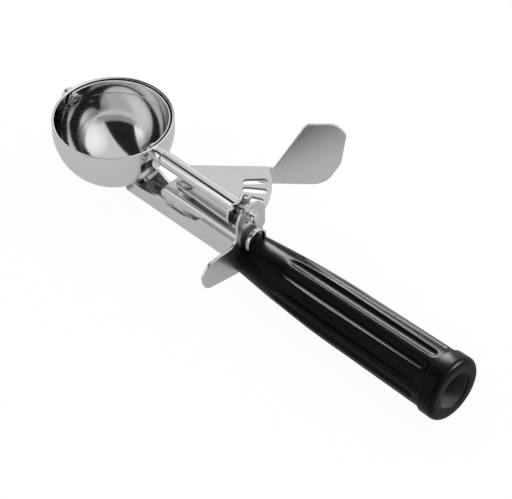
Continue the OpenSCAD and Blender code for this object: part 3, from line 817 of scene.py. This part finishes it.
class SCOOP_OT_shank(bpy.types.Operator):
    """Bend the shank channel and the lever's bed"""
    bl_idname = "scoop.shank"
    bl_label = "Shank and bed"

    def execute(self, context):
        half, sheet, bend = 5.3, 1.2, 1.7
        front, ball = BOWL_X, BOWL_R + SADDLE_T
        lip_z, seat_z = BED_TOP - 4.9, BED_TOP - 2.1
        side_z, dip_z, top_z = SHANK_FLOOR + 7, SHANK_FLOOR + 3.8, lip_z - 1.4
        rear = [(PIVOT_X + 2.5, top_z), (PIVOT_X + 10, top_z + 1.6), (PIVOT_X + 13, seat_z),
                (REST_FRONT, seat_z)]
        near = [(front, side_z), (front + 20, side_z), (PIVOT_X - 11.4, top_z + 0.3),
                (PIVOT_X - 6.5, top_z)] + rear
        far = [(front, side_z), (front + 19, side_z), (PIVOT_X - 14.4, dip_z), (PIVOT_X - 9.4, dip_z),
               (PIVOT_X - 8, top_z)] + rear
        columns, side, corner, flat = 110, 8, 6, 6
        rows = 2 * (side + corner) + flat

        def section(j, top_near, top_far):
            """A point of the channel's outside, from the near top edge round to the far one."""
            low = SHANK_FLOOR + bend
            if j <= side:
                return -half, top_near + (low - top_near) * j / side
            if j <= side + corner:
                angle = radians(90 * (j - side) / corner)
                return -half + bend - bend * cos(angle), low - bend * sin(angle)
            if j < side + corner + flat:
                return (-half + bend) + 2 * (half - bend) * (j - side - corner) / flat, SHANK_FLOOR
            y, z = section(rows - j, top_far, top_near)
            return -y, z

        def place(i, j):
            """A point of the channel, whose front part is stretched to begin on the saddle plate."""
            t, stretched = i / columns, 0.2
            x = front + (REST_FRONT - front) * t
            y, z = section(j, between(near, x), between(far, x))
            if t < stretched:
                room = ball * ball - y * y - (z - BOWL_Z) ** 2
                start = front + sqrt(max(room, 0))
                x = start + (front + (REST_FRONT - front) * stretched - start) * t / stretched
                y, z = section(j, between(near, x), between(far, x))
            return Vector((x, y, z))

        bm = bmesh.new()
        formed_sheet(bm, columns, rows, place, -sheet, 0.25)
        finish(bm, "shank_trough", "frame", "stamped_steel", material("rolled_steel"), "shank_channel",
               sharp=60)

        width, wall, fold = 4.8, 1.0, 0.6
        x0, x1 = bed_low.x, REST_FRONT
        lip = [(x0, lip_z + 1.2), (x0 + 2.9, lip_z), (PIVOT_X + 0.5, lip_z), (PIVOT_X + 3.5, BED_TOP - 3.6),
               (PIVOT_X + 10, BED_TOP - 2.9), (PIVOT_X + 13, seat_z), (x1, seat_z)]
        nose = [(x0, BED_TOP - 1.8), (x0 + 2.4, BED_TOP), (x1, BED_TOP)]
        ncol, nside, nfold, ntop = 80, 5, 6, 8
        nrows = 2 * (nside + nfold) + ntop

        def across(j, low, top):
            """A point of the bed's outside, from the near lip over the top to the far one."""
            if j <= nside:
                return -width, low + (top - fold - low) * j / nside
            if j <= nside + nfold:
                angle = radians(90 * (j - nside) / nfold)
                return -width + fold - fold * cos(angle), top - fold + fold * sin(angle)
            if j < nside + nfold + ntop:
                return (-width + fold) + 2 * (width - fold) * (j - nside - nfold) / ntop, top
            y, z = across(nrows - j, low, top)
            return -y, z

        def bed(i, j):
            x = x0 + (x1 - x0) * (i / ncol) ** 1.2
            y, z = across(j, between(lip, x), between(nose, x))
            return Vector((x, y, z))

        bm = bmesh.new()
        formed_sheet(bm, ncol, nrows, bed, -wall, 0.22)
        finish(bm, "bed_bridge", "frame", "stamped_steel", material("rolled_steel"), "lever_bed", sharp=60)
        return {"FINISHED"}


class SCOOP_OT_rest(bpy.types.Operator):
    """Press the finger rest and bend the collar behind it"""
    bl_idname = "scoop.rest"
    bl_label = "Finger rest"

    def execute(self, context):
        lobe, top, foot, reach = rest_high.y, rest_high.z, rest_low.z, 26.9
        tab_top = SHAFT_Z - 10.1
        tab_low = tab_top - 12.2
        outline = rounded([
            (lobe, top, 7.4), (lobe, tab_top + 1.5, 1.5), (lobe - 1.5, tab_top - 0.4, 1),
            (lobe - 1.5, foot, 4), (-8, foot + 0.7, 2), (-reach + 1.4, tab_low, 4.5),
            (-reach - 0.4, tab_low + 7, 3.5), (-reach + 3.8, tab_top, 4), (-lobe - 0.2, tab_top, 4),
            (0.9 - lobe, top, 7)], 16)
        holes = [circle((0, SHAFT_Z), SHAFT_R + 0.85)]
        bm = bmesh.new()
        place = Matrix(((0, 0, 1, REST_FRONT), (1, 0, 0, 0), (0, 1, 0, 0), (0, 0, 0, 1)))
        pressed_plate(bm, outline, holes, REST_REAR - REST_FRONT, 0.28, place, segments=4)
        # The rest takes the darker sheet, as painted shade.
        finish(bm, "finger_plate", "frame", "stamped_steel", material("rest_steel"), "finger_rest")

        out, wall = (collar_high.y - collar_low.y) / 2, 1.1
        centre, low = collar_high.z - out, collar_low.z
        x0, length = collar_low.x, collar_high.x - collar_low.x
        leg, turns, rows = 4, 40, 3

        def arch(i, j):
            """A point of the collar's outside, up one leg, over the top and down the other."""
            k = i - leg
            if k < 0:
                y, z = -out, centre + (low - centre) * (-k) / leg
            elif k > turns:
                y, z = out, centre + (low - centre) * (k - turns) / leg
            else:
                angle = pi - pi * k / turns
                y, z = out * cos(angle), centre + out * sin(angle)
            return Vector((x0 + length * j / rows, y, z))

        bm = bmesh.new()
        formed_sheet(bm, turns + 2 * leg, rows, arch, -wall, 0.3, 3)
        finish(bm, "collar_arch", "frame", "steel", material("polished_steel"), "handle_collar")
        return {"FINISHED"}


class SCOOP_OT_grip(bpy.types.Operator):
    """Spin the grip and press its flutes"""
    bl_idname = "scoop.grip"
    bl_label = "Grip"

    def execute(self, context):
        sizes = context.scene.scoop_sizes
        depth, cutter = sizes.flute_depth / MM, sizes.flute_radius / MM
        front_r, neck_r, rear_r = 8.7, 12.1, 12.75
        flare, butt_l, butt_round, socket_r, socket_l = 54, 8, 2.4, 7.85, 12
        length = -GRIP_FRONT
        last = length - butt_l
        flutes, per_flute = 12, 26

        def radius(x):
            """The grip's radius, which grows to the end of the flare and then slowly to the butt."""
            if x < flare:
                return front_r + (neck_r - front_r) * sin(radians(90 * x / flare))
            return neck_r + (rear_r - neck_r) * (x - flare) / (last - flare)

        profile = [(0, 0)] + softened([(0, 0), (0, front_r), (3, radius(3) + 0.05)], 0.6, 4)[5:10]
        steps, start = 130, 1.5
        along = [start + (last - start) * k / steps for k in range(steps + 1)]
        profile += [(a, radius(a)) for a in along]
        shoulder = [(last - 1, rear_r), (last, rear_r), (last + 0.5, BUTT_R - 0.1), (last + 3, BUTT_R)]
        profile += softened(shoulder, 0.5, 4)[5:15]
        edge = [radians(a) for a in range(0, 91, 9)]
        profile += [(length - butt_round + butt_round * sin(a), BUTT_R - butt_round + butt_round * cos(a))
                    for a in edge]
        mouth = [(length, BUTT_R - 4), (length, socket_r), (length - 3, socket_r)]
        profile += softened(mouth, 0.5, 5)[6:12]
        bottom = [(length - 3, socket_r), (length - socket_l, socket_r), (length - socket_l, 0)]
        profile += softened(bottom, 0.8, 4)[5:10] + [(length - socket_l, 0)]
        profile = [(GRIP_FRONT + a, r) for a, r in profile]
        bm = bmesh.new()
        turned_part(bm, profile, Vector((0, 0, 0)), X, steps=flutes * per_flute, closed=False)
        bmesh.ops.remove_doubles(bm, verts=bm.verts, dist=0.0005)

        x0, x1 = 25.0, last - 3.9
        r0, r1 = radius(x0) + cutter - depth, radius(x1) + cutter - depth
        pitch, run_out, soft = 2 * pi / flutes, 0.4, 0.35
        for v in bm.verts:
            x = v.co.x - GRIP_FRONT
            out = hypot(v.co.y, v.co.z)
            if not 15 < x < last - 1 or out < front_r + 0.5:
                continue
            off = (atan2(v.co.z, v.co.y) / pitch - 0.5) % 1 - 0.5
            axis = r0 + (r1 - r0) * (x - x0) / (x1 - x0)
            spare = max((x0 - x) * run_out, x - x1, 0)
            side = axis * sin(off * pitch)
            room = cutter * cutter - spare * spare - side * side
            if room <= 0:
                continue
            deep = out - axis * cos(off * pitch) + sqrt(room)
            floor = out - (deep + hypot(deep, soft)) / 2
            v.co.y *= floor / out
            v.co.z *= floor / out
        for face in bm.faces:
            middle = face.calc_center_median()
            if middle.x > -socket_l - 0.1 and hypot(middle.y, middle.z) < socket_r + 0.01:
                face.material_index = 1
        piece = finish(bm, "grip_body", "frame", "grip", material("moulded_plastic"), "handle_grip",
                       sharp=50)
        piece.data.materials.append(material("socket_plastic"))
        return {"FINISHED"}


# ---- Stage ----


def ray_kinds(tree):
    """Whether a ray comes from the camera, off a mirror-like surface or through a clear one."""
    kinds = ("Is Camera Ray", "Is Glossy Ray", "Is Transmission Ray")
    return [tree.node("ShaderNodeLightPath", output=kind) for kind in kinds]


class SCOOP_OT_stage(bpy.types.Operator):
    """Set the floor, the light and the camera"""
    bl_idname = "scoop.stage"
    bl_label = "Studio"

    def execute(self, context):
        studio = context.scene.scoop_studio
        scene = context.scene
        low = cad_bounds[0][2]

        bm = bmesh.new()
        bmesh.ops.create_grid(bm, x_segments=1, y_segments=1, size=4)
        bmesh.ops.translate(bm, verts=bm.verts, vec=(-0.1, 0, low - 0.0005))
        mesh = bpy.data.meshes.new("floor")
        bm.to_mesh(mesh)
        bm.free()
        floor = bpy.data.objects.new("floor", mesh)
        scene.collection.objects.link(floor)
        paper, t = surface("pale_paper")
        fibre = t.noise(0.004, detail=3)
        diffuse = t.node("ShaderNodeBsdfDiffuse", values={"Color": t.mixed(fibre, grey(0.9), grey(0.93))})
        seen, mirrored, through = ray_kinds(t)
        glow = t.node("ShaderNodeEmission", values={
            "Color": t.mixed(mirrored, grey(1.0), grey(studio.floor_grey)), "Strength": 1.0})
        share = (seen + through) * 0.95 + mirrored * 0.85
        end(t, t.node("ShaderNodeMixShader", values={0: share, 1: diffuse, 2: glow}))
        paper.cycles.emission_sampling = "NONE"
        floor.data.materials.append(paper)

        world = bpy.data.worlds.new("studio")
        scene.world = world
        world.cycles.sampling_method = "NONE"
        t = Tree(world)
        look = t.node("ShaderNodeTexCoord", output="Generated")
        height = t.node("ShaderNodeSeparateXYZ", values={0: look}, output="Z")

        def towards(x, y, z, start, full):
            """How far a direction lies towards another one, from 0 at start to 1 at full."""
            values = {0: look, 1: (x, y, z)}
            aim = t.node("ShaderNodeVectorMath", {"operation": "DOT_PRODUCT"}, values, output="Value")
            return t.between(aim, start, full)

        # The ceiling, darker towards one corner, and the bright lower part of the room
        corner = towards(-0.85, -0.1, 0.5, 0.78, 0.97)
        room = t.mixed(corner, grey(studio.ceiling), grey(studio.ceiling * 0.5))
        room = t.mixed(t.between(height, 0.42, 0.3), room, grey(1.0))
        # The two soft boxes
        room = t.mixed(towards(0.64, 0.38, 0.67, 0.8, 0.97), room, grey(studio.soft_box))
        room = t.mixed(towards(-0.22, -0.84, 0.5, 0.92, 0.985), room, grey(studio.soft_box))
        # A darker wall on one side and a narrow dark gap
        ahead = towards(0.57, -0.82, 0, 0.45, 0.75)
        room = t.mixed(ahead * t.between(height, 0.54, 0.5), room, grey(0.36))
        gap = towards(-0.2, -0.974, -0.108, 0.065, 0.105) * towards(0.655, 0.751, 0.079, -0.64, -0.605)
        room = t.mixed(gap * t.between(height, 0.49, 0.54), room, grey(0.02))
        seen, mirrored, through = ray_kinds(t)
        level = t.mixed(seen + through, grey(studio.fill), grey(1.0))
        colour = t.mixed(mirrored, level, room)
        background = t.node("ShaderNodeBackground", values={"Color": colour, "Strength": 1.0})
        t.node("ShaderNodeOutputWorld", values={"Surface": background})

        def lamp(name, place, aim, size, watts):
            light = bpy.data.lights.new(name, "AREA")
            light.shape = "RECTANGLE"
            light.size, light.size_y, light.energy = *size, watts
            holder = bpy.data.objects.new(name, light)
            holder.location = place
            holder.rotation_euler = (Vector(aim) - holder.location).to_track_quat("-Z", "Y").to_euler()
            holder.visible_camera = False
            scene.collection.objects.link(holder)
            return holder

        overhead = lamp("soft_box", (0.05, 0.25, 0.8), (-0.1, 0, 0), (0.6, 0.5), studio.lamp_watts)
        overhead.visible_glossy = False
        gloss = bpy.data.collections.new("gloss")
        gloss.objects.link(bpy.data.objects["grip_body"])
        for place, size in (((-0.36, 0.36, 0.32), (0.24, 0.36)), ((0.36, 0.36, 0.30), (0.3, 0.25))):
            side_box = lamp("side_box", place, (-0.05, 0, 0), size, studio.gloss_watts)
            side_box.light_linking.receiver_collection = gloss

        camera = bpy.data.cameras.new("camera")
        camera.sensor_width, camera.lens = 36, 199.0055
        camera.clip_end = 20
        eye = bpy.data.objects.new("camera", camera)
        right = Vector((0.72016927, 0.69378557, -0.00422086))
        up = Vector((-0.48550725, 0.50829769, 0.71127784))
        back = Vector((0.49561975, -0.51019118, 0.7028983))
        eye.matrix_world = Matrix.Translation((0.4457928, -0.565533, 0.7830554)) @ Matrix(
            (right, up, back)).transposed().to_4x4()
        scene.collection.objects.link(eye)
        scene.camera = eye
        scene.view_settings.view_transform = "Standard"
        return {"FINISHED"}


class SCOOP_PT_panel(bpy.types.Panel):
    """Pieces and settings of the scoop"""
    bl_label = "Scoop"
    bl_idname = "SCOOP_PT_panel"
    bl_space_type = "VIEW_3D"
    bl_region_type = "UI"
    bl_category = "Scoop"

    def draw(self, context):
        column = self.layout.column()
        for operator in OPERATORS:
            column.operator(operator.bl_idname)
        for group in (context.scene.scoop_looks, context.scene.scoop_sizes, context.scene.scoop_studio):
            for name in group.__annotations__:
                column.prop(group, name)


OPERATORS = (SCOOP_OT_bowl, SCOOP_OT_scraper, SCOOP_OT_shaft, SCOOP_OT_lever, SCOOP_OT_pivot,
             SCOOP_OT_spring, SCOOP_OT_shank, SCOOP_OT_rest, SCOOP_OT_grip, SCOOP_OT_stage)
GROUPS = (ScoopLooks, ScoopSizes, ScoopStudio)
CLASSES = GROUPS + OPERATORS + (SCOOP_PT_panel,)


def register():
    for item in CLASSES:
        bpy.utils.register_class(item)
    bpy.types.Scene.scoop_looks = PointerProperty(type=ScoopLooks)
    bpy.types.Scene.scoop_sizes = PointerProperty(type=ScoopSizes)
    bpy.types.Scene.scoop_studio = PointerProperty(type=ScoopStudio)


def unregister():
    del bpy.types.Scene.scoop_studio, bpy.types.Scene.scoop_sizes, bpy.types.Scene.scoop_looks
    for item in reversed(CLASSES):
        bpy.utils.unregister_class(item)


def main():
    register()
    for operator in OPERATORS:
        group, name = operator.bl_idname.split(".")
        getattr(getattr(bpy.ops, group), name)()


if __name__ == "__main__":
    main()
